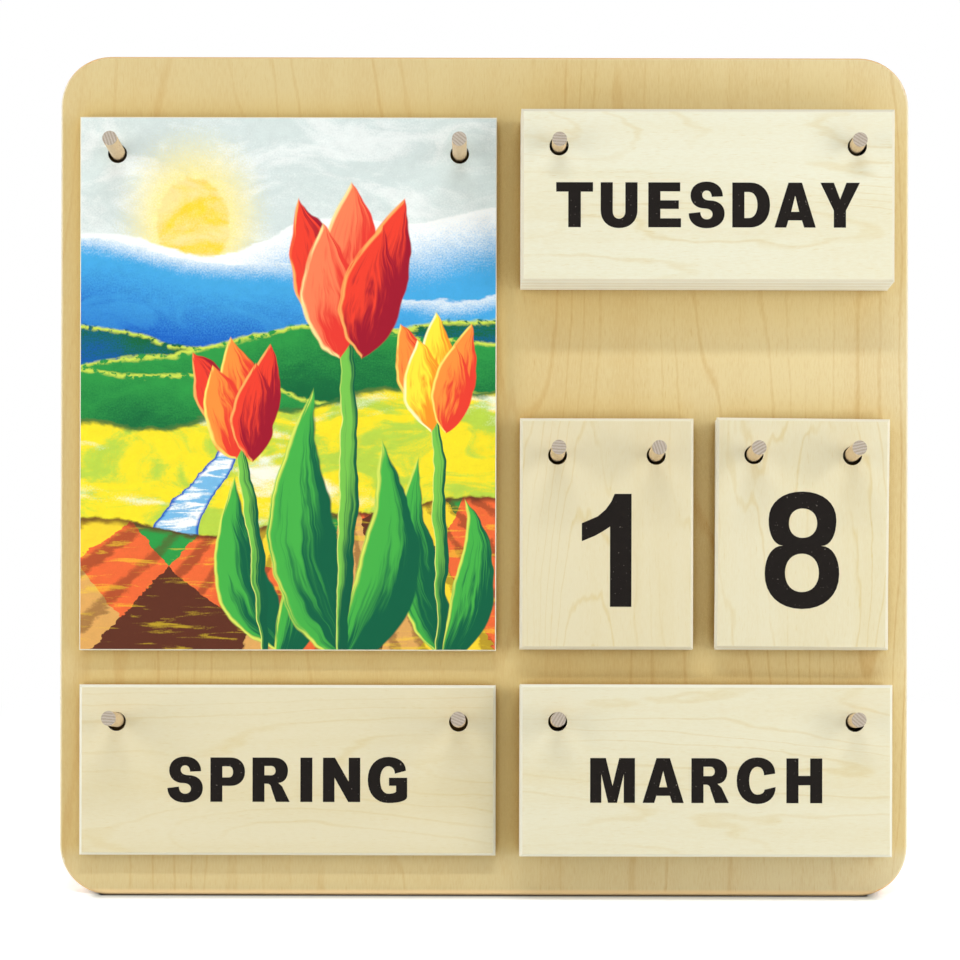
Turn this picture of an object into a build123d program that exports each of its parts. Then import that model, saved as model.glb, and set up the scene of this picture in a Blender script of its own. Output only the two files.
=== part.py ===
from build123d import *
import os
from dataclasses import dataclass
from math import cos, radians, tan

# Perpetual desk calendar: a plywood board with pairs of sloping wooden pegs, stacks of plywood
# tiles hung on them, and a hinged strut behind. Millimetres and degrees, +Z up, the front faces
# -Y. The origin is the centre of the flat that the board stands on.
#
# Most pieces are drawn in the board's own frame: X to the right, Y from the front face towards
# the back, Z up along the board, with its origin on the lower front edge. `stand` then leans
# them back into the standing place.

# Board
board_width = 450.0
board_height = 445.0
board_thickness = 15.0
board_corner_radius = 26.5
board_front_round = 1.6
board_back_chamfer = 1.0
board_lean = 10.0

# Tiles, all cut from one sheet
tile_thickness = 3.7
tile_gap = 0.1
tile_bevel = 1.4
picture_bevel = 0.5

# Places of the tiles on the board
side_margin = 11.4
column_gap = 12.5
digit_gap = 12.1
left_tile_width = 220.0
top_margin = 33.5
bottom_margin = 21.7
word_height = 90.0
digit_height = 121.5
picture_row_gap = 18.3
digit_row_gap = 19.1

# Pegs and the holes that hang on them
peg_diameter = 7.6
peg_slope = 6.5
peg_reach = 38.0
peg_bore_depth = 10.0
peg_glue_gap = 0.05
hole_diameter = 10.0
hole_side_inset = 19.7
hole_below_top = 19.4
hang_gap = 0.25
units_front_tilt = 0.5

# Strut
strut_thickness = 9.0
strut_head_width = 70.0
strut_foot_width = 120.0
strut_open_angle = 18.0
strut_edge_chamfer = 1.0
strut_head_height = 40.0
strut_stop_gap = 0.1
pin_below_top = 120.0

# Butt hinge between the board and the strut
leaf_length = 60.0
leaf_drop = 24.0
leaf_thickness = 1.5
leaf_corner_radius = 3.0
knuckle_count = 3
knuckle_radius = 3.0
knuckle_side_gap = 0.2
knuckle_wood_gap = 0.3
pin_diameter = 3.0
pin_running_gap = 0.05

# Countersunk screws of the hinge
screw_head_diameter = 6.2
screw_head_depth = 1.4
screw_shank_diameter = 3.0
screw_shank_gap = 0.05
board_screw_length = 12.0
strut_screw_length = 8.0
screw_row_inset = 9.0

# Worked out from the sizes above
word_width = board_width - 2 * side_margin - left_tile_width - column_gap
digit_width = (word_width - digit_gap) / 2
bottom_row_top = bottom_margin + word_height
digit_row_top = bottom_row_top + digit_row_gap + digit_height
top_row_top = board_height - top_margin
picture_height = top_row_top - bottom_row_top - picture_row_gap
left_column = side_margin - board_width / 2
right_column = left_column + left_tile_width + column_gap
board_foot = board_thickness / cos(radians(board_lean))
knuckle_length = (leaf_length - (knuckle_count - 1) * knuckle_side_gap) / knuckle_count
pin_stand_off = knuckle_radius + knuckle_wood_gap
pin_depth = board_thickness + pin_stand_off
pin_height = board_height - pin_below_top
stand = Location((0, -board_foot / 2, 0), (-board_lean, 0, 0))
below_floor = Pos(0, 0, -board_height) * Box(3 * board_width, 3 * board_width, 2 * board_height)


@dataclass
class Place:
    """A pair of pegs and the stack of tiles that hangs on it."""

    name: str
    left: float
    top: float
    width: float
    height: float
    tile_count: int
    bevel: float = tile_bevel
    front_tilt: float = 0.0

    def peg_x(self):
        """The pegs' distances from the board's middle, left and right."""
        return self.left + hole_side_inset, self.left + self.width - hole_side_inset

    def peg_height(self):
        """Height at which the pegs leave the board, with the rear tile's top edge at `top`."""
        return self.top - hole_below_top + hole_diameter / 2 - hang_gap - peg_rise(1)


places = [
    Place("picture", left_column, top_row_top, left_tile_width, picture_height, 2, picture_bevel),
    Place("season", left_column, bottom_row_top, left_tile_width, word_height, 2),
    Place("weekday", right_column, top_row_top, word_width, word_height, 7),
    Place("month", right_column, bottom_row_top, word_width, word_height, 6),
    Place("tens", right_column, digit_row_top, digit_width, digit_height, 3),
    Place("units", right_column + digit_width + digit_gap, digit_row_top, digit_width, digit_height,
          3, front_tilt=units_front_tilt),
]


def tile_front(number):
    """Distance of a tile's front face from the board, by the tile's number out from the board."""
    return number * (tile_thickness + tile_gap)


def peg_rise(number):
    """Rise of the pegs' upper sides at a tile's front face above where their axes leave the board."""
    return tile_front(number) * tan(radians(peg_slope)) + peg_diameter / 2 / cos(radians(peg_slope))


def peg_frame(x, height):
    """Frame on the board's front face whose Z runs out along a peg, sloping upwards."""
    return Pos(x, 0, height) * Rot(90 - peg_slope, 0, 0)


def board():
    """Board with rounded corners, blind peg bores, hinge screw holes and a level foot."""
    outline = Pos(0, board_height / 2) * RectangleRounded(board_width, board_height, board_corner_radius)
    panel = extrude(Plane.XZ * outline, amount=-board_thickness)
    panel = fillet(panel.faces().sort_by(Axis.Y)[0].edges(), board_front_round)
    panel = chamfer(panel.faces().sort_by(Axis.Y)[-1].edges(), board_back_chamfer)
    bore_radius = peg_diameter / 2 + peg_glue_gap
    bore_length = peg_bore_depth + peg_diameter
    bore = Pos(0, 0, -peg_bore_depth) * Cylinder(
        bore_radius, bore_length, align=(Align.CENTER, Align.CENTER, Align.MIN))
    for place in places:
        for x in place.peg_x():
            panel -= peg_frame(x, place.peg_height()) * bore
    for x, drop in screw_spots():
        panel -= board_leaf_frame() * Pos(x, -drop, 0) * screw_hole(board_screw_length)
    return stand * panel - below_floor


def peg(x, height):
    """Dowel seated on the floor of its bore."""
    dowel = Cylinder(peg_diameter / 2, peg_bore_depth + peg_reach,
                     align=(Align.CENTER, Align.CENTER, Align.MIN))
    return stand * peg_frame(x, height) * Pos(0, 0, -peg_bore_depth) * dowel


def tile(place, number):
    """Tile that hangs on its pegs' upper sides, the given number out from the board."""
    hole_height = place.peg_height() + peg_rise(number) + hang_gap - hole_diameter / 2
    middle = place.left + place.width / 2
    blank = Box(place.width, tile_thickness, place.height,
                align=(Align.CENTER, Align.MIN, Align.MAX))
    faces = blank.faces().sort_by(Axis.Y)
    blank = chamfer(faces[0].edges() + faces[-1].edges(), place.bevel)
    hole = Rot(90, 0, 0) * Cylinder(hole_diameter / 2, 3 * tile_thickness)
    for side in (-1, 1):
        blank -= Pos(side * (place.width / 2 - hole_side_inset), 0, -hole_below_top) * hole
    hung = Pos(middle, -tile_front(number), hole_height + hole_below_top) * blank
    if number == place.tile_count and place.front_tilt:
        resting_hole = Pos(place.peg_x()[1], 0, hole_height)
        hung = resting_hole * Rot(0, place.front_tilt, 0) * resting_hole.inverse() * hung
    return stand * hung


def board_leaf_frame():
    """Frame of the board's leaf: X along the pin, Y towards the pin, Z out of the leaf's face."""
    return Pos(0, pin_depth, pin_height) * Rot(-90, 0, 0) * Rot(0, 0, 180)


def strut_leaf_frame():
    """Frame of the strut's leaf, the board leaf's mirror image when folded, swung open."""
    return Pos(0, pin_depth, pin_height) * Rot(strut_open_angle, 0, 0) * Rot(90, 0, 0)


def screw_spots():
    """Screw places on a leaf: distances along the pin and down from it."""
    side = leaf_length / 2 - screw_row_inset
    drop = leaf_drop - screw_row_inset
    return [(-side, drop), (side, drop)]


def leaf_top():
    """Height of a leaf's open face below the pin's axis."""
    return leaf_thickness - pin_stand_off


def screw_hole(length):
    """Countersink and shank hole below a leaf's open face."""
    shank = screw_shank_diameter / 2 + screw_shank_gap
    cone = Cone(shank, screw_head_diameter / 2, screw_head_depth,
                align=(Align.CENTER, Align.CENTER, Align.MAX))
    bore = Cylinder(shank, length, align=(Align.CENTER, Align.CENTER, Align.MAX))
    return Pos(0, 0, leaf_top()) * (cone + bore)


def screw(length):
    """Countersunk screw, seated in the hole of the leaf and the wood below it."""
    shank = screw_shank_diameter / 2
    profile = Polyline((0, 0), (screw_head_diameter / 2, 0), (shank, -screw_head_depth),
                       (shank, -length), (0, -length), close=True)
    return Pos(0, 0, leaf_top()) * revolve(Plane.XZ * make_face(profile), Axis.Z)


def hinge_leaf(own_knuckles):
    """Leaf plate below the pin with its own knuckles and notches for the other leaf's."""
    plate = Pos(0, -leaf_drop / 2) * Rectangle(leaf_length, leaf_drop)
    plate = fillet(plate.vertices().group_by(Axis.Y)[0], leaf_corner_radius)
    leaf = Pos(0, 0, -pin_stand_off) * extrude(plate, amount=leaf_thickness)
    barrel = Rot(0, 90, 0) * Cylinder(knuckle_radius, knuckle_length)
    notch = Box(knuckle_length + 2 * knuckle_side_gap, 2 * pin_stand_off, 4 * pin_stand_off)
    for index in range(knuckle_count):
        x = (index - (knuckle_count - 1) / 2) * (knuckle_length + knuckle_side_gap)
        if index in own_knuckles:
            leaf += Pos(x, 0, 0) * barrel
        else:
            leaf -= Pos(x, 0, 0) * notch
    leaf -= Rot(0, 90, 0) * Cylinder(pin_diameter / 2 + pin_running_gap, 2 * leaf_length)
    for x, drop in screw_spots():
        leaf -= Pos(x, -drop, 0) * screw_hole(board_screw_length)
    return leaf


def hinge_pin():
    """Pin through all the knuckles, flush with the outer ones."""
    pin = Cylinder(pin_diameter / 2, leaf_length)
    return stand * Pos(0, pin_depth, pin_height) * Rot(0, 90, 0) * pin


def strut():
    """Tapered leg: its head is bevelled to rest on the board when open, its foot is cut level."""
    reach = pin_height
    taper = (strut_foot_width - strut_head_width) / (strut_head_height + reach)
    head_side = strut_head_width / 2
    tail_side = head_side + taper * (strut_head_height + 2 * reach) / 2
    outline = Polyline((-head_side, strut_head_height), (-tail_side, -2 * reach),
                       (tail_side, -2 * reach), (head_side, strut_head_height), close=True)
    leg = Pos(0, 0, -pin_stand_off) * extrude(make_face(outline), amount=-strut_thickness)
    leg = chamfer(leg.edges().filter_by(Axis.Z, reverse=True).filter_by(
        lambda edge: edge.length > reach), strut_edge_chamfer)
    for x, drop in screw_spots():
        leg -= Pos(x, -drop, 0) * screw_hole(strut_screw_length)
    leg = strut_leaf_frame() * leg
    stop = Box(board_width, 2 * board_height, 6 * board_height,
               align=(Align.CENTER, Align.MAX, Align.CENTER))
    leg -= Pos(0, board_thickness + strut_stop_gap, 0) * stop
    return stand * leg - below_floor


def screw_group(frame, length):
    """The two screws of one leaf."""
    return Compound([stand * frame * Pos(x, -drop, 0) * screw(length) for x, drop in screw_spots()])


def build():
    """Every piece of the calendar, by its name."""
    pieces = {"board": board()}
    for place in places:
        for side, x in zip(("left", "right"), place.peg_x()):
            pieces[f"{place.name}_peg_{side}"] = peg(x, place.peg_height())
        for number in range(1, place.tile_count + 1):
            pieces[f"{place.name}_tile_{number}"] = tile(place, number)
    pieces["strut"] = strut()
    pieces["hinge_board_leaf"] = stand * board_leaf_frame() * hinge_leaf(range(0, knuckle_count, 2))
    pieces["hinge_strut_leaf"] = stand * strut_leaf_frame() * hinge_leaf(range(1, knuckle_count, 2))
    pieces["hinge_pin"] = hinge_pin()
    pieces["board_leaf_screws"] = screw_group(board_leaf_frame(), board_screw_length)
    pieces["strut_leaf_screws"] = screw_group(strut_leaf_frame(), strut_screw_length)
    return pieces


os.makedirs("parts", exist_ok=True)
for name, solid in build().items():
    export_step(solid, f"parts/{name}.step")
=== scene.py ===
"""Perpetual desk calendar: wood finishes, printed tiles, hinge hardware, studio stage and camera."""

from inspect import signature
from math import atan2, cos, degrees, pi, radians, sin, tau

import bmesh
import bpy
from bpy.props import FloatProperty, FloatVectorProperty, PointerProperty
from bpy.types import Operator, Panel, PropertyGroup
from mathutils import Color, Matrix, Vector
from mathutils.geometry import interpolate_bezier, tessellate_polygon


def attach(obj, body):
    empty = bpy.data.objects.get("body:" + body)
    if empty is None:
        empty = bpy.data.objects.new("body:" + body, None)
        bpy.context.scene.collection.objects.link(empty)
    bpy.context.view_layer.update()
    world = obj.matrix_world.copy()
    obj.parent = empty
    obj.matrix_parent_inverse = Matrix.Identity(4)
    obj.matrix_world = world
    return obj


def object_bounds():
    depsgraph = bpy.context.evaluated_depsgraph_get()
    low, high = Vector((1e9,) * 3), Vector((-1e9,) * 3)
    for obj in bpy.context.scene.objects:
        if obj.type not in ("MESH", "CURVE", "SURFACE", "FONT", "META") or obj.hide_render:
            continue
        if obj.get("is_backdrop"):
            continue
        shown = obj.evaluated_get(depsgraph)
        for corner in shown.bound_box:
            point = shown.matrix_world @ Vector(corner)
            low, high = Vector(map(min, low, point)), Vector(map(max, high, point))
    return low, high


bl_info = {
    "name": "Perpetual desk calendar",
    "version": (1, 0, 0),
    "blender": (4, 5, 0),
    "location": "3D View > Sidebar > Calendar",
    "description": "Finishes and lettering for a wooden calendar with hanging tiles",
    "category": "Object",
}

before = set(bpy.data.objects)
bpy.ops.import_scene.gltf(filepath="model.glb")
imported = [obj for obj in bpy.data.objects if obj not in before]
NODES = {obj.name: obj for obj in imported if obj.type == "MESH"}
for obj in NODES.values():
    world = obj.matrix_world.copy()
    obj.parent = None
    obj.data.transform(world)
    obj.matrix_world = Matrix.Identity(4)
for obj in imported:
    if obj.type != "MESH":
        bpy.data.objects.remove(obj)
CAD_BOX = [list(corner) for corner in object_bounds()]

MM = 0.001
FRONT = Vector((0, -1, 0))
BACK = Vector((0, 1, 0))

# What hangs on each pair of pegs, from the board outwards, as (back face, front face) of each tile
WEEKDAYS = ["WEDNESDAY", "THURSDAY", "FRIDAY", "SATURDAY", "SUNDAY", "MONDAY", "TUESDAY"]
MONTHS = [("OCTOBER", "SEPTEMBER"), ("APRIL", "MAY"), ("AUGUST", "JULY"), ("JUNE", "NOVEMBER"),
          ("DECEMBER", "JANUARY"), ("FEBRUARY", "MARCH")]
SEASONS = [("AUTUMN", "WINTER"), ("SUMMER", "SPRING")]
TENS = [("5", "4"), ("3", "2"), ("0", "1")]
UNITS = [("7", "6"), ("1", "2"), ("9", "8")]
PICTURES = [("autumn", "winter"), ("summer", "spring")]

# Letters in hundredths of the cap height. A bare point is a corner. A point after h or v ends a
# quarter curve that sets out level or upright.
LETTERS = {
    "A": ["0,0 26,0 31,16 61,16 66,0 92,0 61,100 31,100", "37,35 55,35 46,71"],
    "B": ["0,0 47,0 h80,28 v63,52 h76,74 v45,100 0,100", "27,19 45,19 h53,30 v45,41 27,41",
          "27,60 43,60 h50,70 v43,81 27,81"],
    "C": ["86,66 v46,102 h0,50 v46,-2 h87,36 62,30 v46,19 h28,50 v46,81 h61,62"],
    "D": ["0,0 40,0 h84,50 v40,100 0,100", "27,21 37,21 h56,50 v37,79 27,79"],
    "E": ["0,0 73,0 73,20 27,20 27,41 68,41 68,60 27,60 27,80 71,80 71,100 0,100"],
    "F": ["0,0 27,0 27,41 62,41 62,60 27,60 27,80 67,80 67,100 0,100"],
    "G": ["86,71 v46,102 h0,50 v46,-2 h89,12 89,55 48,55 48,37 64,37 64,25 v46,19 h28,50 v46,81 h61,64"],
    "H": ["0,0 27,0 27,40 53,40 53,0 80,0 80,100 53,100 53,61 27,61 27,100 0,100"],
    "I": ["0,0 27,0 27,100 0,100"],
    "J": ["64,100 37,100 37,33 v31,19 h25,34 0,31 v31,-2 h64,34"],
    "L": ["0,0 66,0 66,21 27,21 27,100 0,100"],
    "M": ["0,0 25,0 25,64 40,0 60,0 75,64 75,0 100,0 100,100 65,100 50,38 35,100 0,100"],
    "N": ["0,0 26,0 26,55 57,0 84,0 84,100 58,100 58,46 27,100 0,100"],
    "O": ["46,-2 h92,50 v46,102 h0,50 v46,-2", "46,19 h64,50 v46,81 h28,50 v46,19"],
    "P": ["0,0 27,0 27,36 46,36 h78,68 v46,100 0,100", "27,55 42,55 h51,67 v42,80 27,80"],
    "R": ["0,0 27,0 27,41 32,41 h42,32 53,0 84,0 67,35 58,43 h80,71 v48,100 0,100",
          "27,60 42,60 h52,70 v42,81 27,81"],
    "S": ["76,69 v40,102 h4,71 v36,42 h53,29 v40,18 h26,34 0,31 v40,-2 h80,31 v47,60 h30,72 v40,82 h51,68"],
    "T": ["27,0 55,0 55,79 82,79 82,100 0,100 0,79 27,79"],
    "U": ["82,100 55,100 55,36 v41,19 h27,36 27,100 0,100 0,38 v41,-2 h82,38"],
    "V": ["31,0 59,0 90,100 63,100 45,30 27,100 0,100"],
    "W": ["24,0 51,0 64,58 77,0 104,0 128,100 101,100 90,40 77,100 51,100 38,40 27,100 0,100"],
    "Y": ["30,0 57,0 57,38 88,100 58,100 44,63 30,100 0,100 30,38"],
    "0": ["33,-2 h66,50 v33,102 h0,50 v33,-2", "33,14 h46,50 v33,86 h20,50 v33,14"],
    "1": ["25,0 44,0 44,100 29,100 26,93 21,86 14,80 0,74 0,58 12,63 19,67 25,71"],
    "2": ["0,0 64,0 64,17 27,17 40,30 54,44 61,56 63,72 v33,102 h2,70 21,68 v32,85 h44,71 41,60 "
          "33,49 6,20"],
    "3": ["1,27 v32,-2 h65,28 v49,53 h61,75 v32,102 h2,76 20,73 v32,86 h42,74 v26,61 26,46 h46,29 v32,14 "
          "h20,30"],
    "4": ["40,0 58,0 58,20 69,20 69,36 58,36 58,100 42,100 0,37 0,20 40,20", "18,36 40,36 40,69"],
    "5": ["0,26 v31,-2 h65,32 v35,66 h22,61 26,84 61,84 61,100 13,100 4,48 20,46 v32,51 h46,32 v31,14 "
          "h19,28"],
    "6": ["63,75 v34,102 h0,48 v33,-2 h66,32 v37,65 h19,56 v34,86 h45,73",
          "33,14 h47,32 v33,50 h20,32 v33,14"],
    "7": ["13,0 33,0 64,86 64,100 0,100 0,83 42,83"],
    "8": ["33,-2 h66,29 v50,54 h63,77 v33,102 h3,77 v16,54 h0,29 v33,-2",
          "33,61 h46,74 v33,87 h21,74 v33,61", "33,13 h48,30 v33,47 h18,30 v33,13"],
    "9": ["3,25 v32,-2 h66,52 v33,102 h0,68 v29,35 h47,44 v32,14 h21,27",
          "33,86 h19,68 v33,50 h46,68 v33,86"],
}
OPEN_ON_THE_LEFT = "ACGJOSTVWY"
OPEN_ON_THE_RIGHT = "ADFLOPSTVWY"
LETTER_GAP = 24
GAP_SAVED = 7
CURVE_FULLNESS = 0.6
CURVE_STEPS = 9

PRINT_PROUD = 0.04 * MM
PRINT_SUNK = 0.02 * MM
CIRCLE_STEPS = 48

# How far apart two tiles of a stack lie, the plies of the board and the strut, the rings of a peg's end
TILE_PITCH = 3.8 * MM
BOARD_PLY = 1.36 * MM
STRUT_PLY = 1.29 * MM
RING_WIDTH = 1.5 * MM
# Shares of a normal along a ply sheet's depth between which the look goes from edge to face
FACE_LEVELS = (0.8, 0.94)
# Places across the board, in metres, between which its veneer turns paler: painted light, as if more light
# fell on the right
PALE_FROM_TO = (-0.05, 0.22)
# Heights above the foot between which the painted shade near the tiles sets in, and the band of painted
# highlight along the foot
TINTED_FROM_TO = (18 * MM, 28 * MM)
FOOT_FROM_TO = (4 * MM, 1.5 * MM)
FOOT_AMOUNT = 0.85
# Painted shade of the board: the reach of each darker tint, and the shares of open sky between which it sets
# in
SHELTER_TINTS = {"board_mellow": (60 * MM, 0.95, 0.84), "board_ripe": (16 * MM, 0.62, 0.4)}
# Whether the grain stands upright, and how yellow the birch is
TILE_LOOKS = {"weekday": (False, 0.0), "month": (False, 0.35), "season": (False, 0.75),
              "tens": (True, 0.85), "units": (True, 0.6), "picture": (True, 0.2)}

SPRING = {"sky": (214, 224, 218), "glow": (250, 234, 150), "sun": (255, 214, 48), "mountain": (70, 168, 222),
          "mountain_shade": (10, 84, 186), "hill": (44, 152, 66), "hill_shade": (6, 98, 52),
          "rim": (206, 222, 80), "meadow": (252, 228, 40), "meadow_two": (186, 212, 70),
          "water": (120, 186, 226), "crop_one": (250, 214, 50), "crop_two": (240, 106, 54),
          "crop_three": (226, 168, 92), "earth": (92, 44, 26)}
SEASON_COLOURS = {
    "spring": SPRING,
    "summer": SPRING | {"sky": (190, 222, 240), "meadow": (176, 204, 66), "crop_two": (220, 190, 80)},
    "autumn": SPRING | {"hill": (206, 120, 40), "hill_shade": (128, 66, 26), "meadow_two": (226, 160, 60)},
    "winter": SPRING | {"hill": (206, 220, 230), "hill_shade": (110, 142, 168), "rim": (250, 252, 252),
                        "meadow": (240, 244, 246), "meadow_two": (214, 226, 236), "crop_one": (236, 242, 246),
                        "crop_two": (170, 192, 212), "crop_three": (204, 216, 226)},
}

# Light, dark and rim tones of leaves, stems and petals
LEAF = ((70, 176, 70), (0, 92, 60), (222, 232, 96))
STEM = ((120, 196, 76), (0, 88, 58), (230, 236, 120))
GOLD = ((255, 232, 60), (250, 150, 36), (255, 250, 190))
FLAME = ((255, 146, 60), (236, 62, 44), (255, 232, 110))
RUBY = ((240, 64, 44), (158, 16, 40), (255, 176, 96))
CORAL = ((255, 128, 84), (234, 58, 46), (255, 226, 150))
# Foot, head, scale, outer and inner tones of each tulip, in shares of the picture
TULIPS = (((0.88, -0.04), (0.86, 0.5), 0.95, FLAME, GOLD), ((0.46, -0.04), (0.38, 0.45), 1.0, RUBY, FLAME),
          ((0.64, -0.06), (0.65, 0.68), 1.4, RUBY, CORAL))

# Painted contact shadow: the dark line where the board meets the floor is this wide, and the painted shade
# round it reaches four times as far
CONTACT_REACH = 2.8 * MM
# Half the floor's width, and how far from its middle it begins to turn white and has done so, in metres
FLOOR_REACH = 8.0
WHITE_FROM_TO = (0.25, 0.5)
WHITE = (1, 1, 1, 1)
COOL_LIGHT = (0.92, 0.99, 1.09)


def linear(colour):
    """Scene-linear RGBA of a display colour."""
    return (*Color(colour).from_srgb_to_scene_linear(), 1.0)


def tone(red, green, blue):
    """Display colour with parts from 0 to 255."""
    return Color((red / 255, green / 255, blue / 255))


# Painted shade on the walls of the hanging holes, dark like scorched wood
SCORCHED = tone(58, 42, 28)
# Lighter tones of rubbed edges, which are also a painted highlight along edges
RUBBED_WOOD = tone(246, 240, 220)
RING_SHADE = tone(142, 124, 104)
ZINC_STAIN = tone(150, 146, 138)
RUBBED_ZINC = tone(225, 223, 218)
PINHOLE = tone(150, 140, 128)
# Floor paper; its shade tones are painted shadow round the board's foot
PAPER, PAPER_SHADE, CONTACT_SHADE = tone(250, 250, 248), tone(126, 122, 108), tone(28, 18, 10)
HINGE_ZINC, SCREW_ZINC = tone(186, 184, 178), tone(204, 202, 196)


def swatch(name, description, red, green, blue):
    """Colour property given in display values from 0 to 255."""
    return FloatVectorProperty(name=name, description=description, subtype="COLOR_GAMMA", size=3,
                               min=0, max=1, default=(red / 255, green / 255, blue / 255))


def length(name, description, millimetres):
    """Length property with a default in millimetres."""
    return FloatProperty(name=name, description=description, subtype="DISTANCE", unit="LENGTH",
                         default=millimetres * MM)


def lamp_power(name, description, watts):
    """Property for the power of a lamp in watts."""
    return FloatProperty(name=name, description=description, unit="POWER", default=watts)


class WoodSettings(PropertyGroup):
    """Colours of the woods."""

    board_light: swatch("Board", "Light tone of the board's veneer", 217, 196, 142)
    board_dark: swatch("Board grain", "Grain tone of the board's veneer", 200, 159, 95)
    # Paler veneer towards the right is painted light from that side
    board_pale: swatch("Pale board", "Light tone of the veneer towards the right", 226, 209, 163)
    # The next two are painted shade: darker, warmer filters near the tiles and in narrow gaps
    board_mellow: swatch("Wide painted shade", "Filter of the veneer near the tiles", 255, 248, 228)
    board_ripe: swatch("Gap painted shade", "Filter of the veneer in narrow gaps", 199, 174, 117)
    # Painted highlight along the foot's rounding, in the warm tone of its end grain
    board_foot: swatch("Foot", "Painted highlight and end grain along the board's foot", 252, 216, 158)
    tile_light: swatch("Tiles", "Light tone of the birch tiles", 234, 230, 204)
    tile_warm: swatch("Warm tiles", "Light tone of the yellowest tiles", 226, 213, 175)
    tile_dark: swatch("Tile grain", "Grain tone of the birch tiles", 216, 194, 130)
    tile_edge: swatch("Tile edges", "Cross plies on the edges of the tiles", 228, 217, 188)
    ply_light: swatch("Plies", "Light plies on cut edges", 244, 233, 203)
    ply_dark: swatch("Cross plies", "End-grain plies on cut edges", 196, 158, 108)
    end_grain: swatch("End grain", "Plies cut across at the board's top and foot", 236, 192, 128)
    tile_ply: swatch("Tile plies", "Light plies on the edges of the tiles", 239, 235, 215)
    peg_light: swatch("Pegs", "Light tone of the pegs", 222, 196, 154)
    peg_dark: swatch("Peg grain", "Grain tone of the pegs", 190, 150, 108)
    peg_end: swatch("Peg ends", "End grain of the pegs", 206, 193, 176)


class PrintSettings(PropertyGroup):
    """Sizes and colours of the prints."""

    word_height: length("Word height", "Cap height of weekday, month and season", 23.4)
    word_drop: length("Word drop", "Distance of the words below the middle of their tile", 5)
    word_width_limit: length("Widest word", "Longer words are set smaller", 168)
    digit_height: length("Digit height", "Height of the date's digits", 59.5)
    digit_drop: length("Digit drop", "Distance of the digits below the middle of their tile", 8.7)
    ink: swatch("Ink", "Colour of the lettering", 19, 14, 11)


class StageSettings(PropertyGroup):
    """Camera and lamps."""

    camera_distance: length("Camera distance", "Distance of the lens from the board's face", 1400)
    camera_height: length("Camera height", "Height of the optical axis up the board", 220.6)
    camera_side: length("Camera side", "Place of the optical axis across the board", -2.2)
    camera_lens: FloatProperty(name="Lens", description="Focal length in millimetres on a 36 mm sensor",
                               default=98.9)
    camera_roll: FloatProperty(name="Roll", description="Turn of the camera about its axis",
                               subtype="ANGLE", default=radians(0.12))
    top_lamp: lamp_power("Top lamp", "Power of the lamp above", 18.5)
    right_lamp: lamp_power("Right lamp", "Power of the lamp on the right", 8.9)
    left_lamp: lamp_power("Left lamp", "Power of the lamp on the left", 8.2)
    back_lamp: lamp_power("Back lamp", "Power of the lamp behind the board", 20)
    sky_level: FloatProperty(name="Fill", description="Level of the light from all round", default=0.212)


class CalendarSettings(PropertyGroup):
    """Everything that a user would change."""

    wood: PointerProperty(type=WoodSettings)
    print: PointerProperty(type=PrintSettings)
    stage: PointerProperty(type=StageSettings)


# Shader graphs


# Defaults of a node group's inputs, and the sockets for each type of value
VECTOR = (0, 0, 0)
COLOUR = (0, 0, 0, 1)
KINDS = {"VALUE": "NodeSocketFloat", "VECTOR": "NodeSocketVector", "RGBA": "NodeSocketColor"}
GROUPS = {}


def title(name):
    """Name of a group or a socket from the name of a function or a parameter."""
    return name.replace("_", " ").capitalize()


def reckoning(operation, swapped=False):
    """Method that adds a math node of a value and another one, which comes first if swapped."""
    def method(value, other):
        return value.graph.math(operation, *((other, value) if swapped else (value, other)))
    return method


class Value:
    """Output of a node. Its sums, products and the like are further nodes of the same graph."""

    def __init__(self, graph, socket):
        self.graph = graph
        self.socket = socket

    __add__ = reckoning("ADD")
    __sub__ = reckoning("SUBTRACT")
    __rsub__ = reckoning("SUBTRACT", swapped=True)
    __mul__ = reckoning("MULTIPLY")
    __truediv__ = reckoning("DIVIDE")
    larger = reckoning("MAXIMUM")

    def __abs__(self):
        return self.graph.math("ABSOLUTE", self)

    def length(self):
        """Length of a vector."""
        return self.graph.math("LENGTH", self)

    def split(self):
        """X, Y and Z of a vector."""
        return list(self.graph.outputs(self.graph.add("ShaderNodeSeparateXYZ", {0: self})).values())

    def ramp(self, low, high):
        """Smooth step from 0 to 1 between two levels."""
        return self.graph.output("ShaderNodeMapRange", {0: self, 1: low, 2: high},
                                 interpolation_type="SMOOTHSTEP")

    def noise(self, stretch, detail=2.0, roughness=0.5, distortion=0.0):
        """Noise at a place whose space is scaled by one number, or by one for each axis."""
        scale = stretch if isinstance(stretch, tuple) else (stretch,) * 3
        return self.graph.output("ShaderNodeTexNoise", {
            "Vector": self * scale, "Scale": 1.0, "Detail": detail, "Roughness": roughness,
            "Distortion": distortion})


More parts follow.
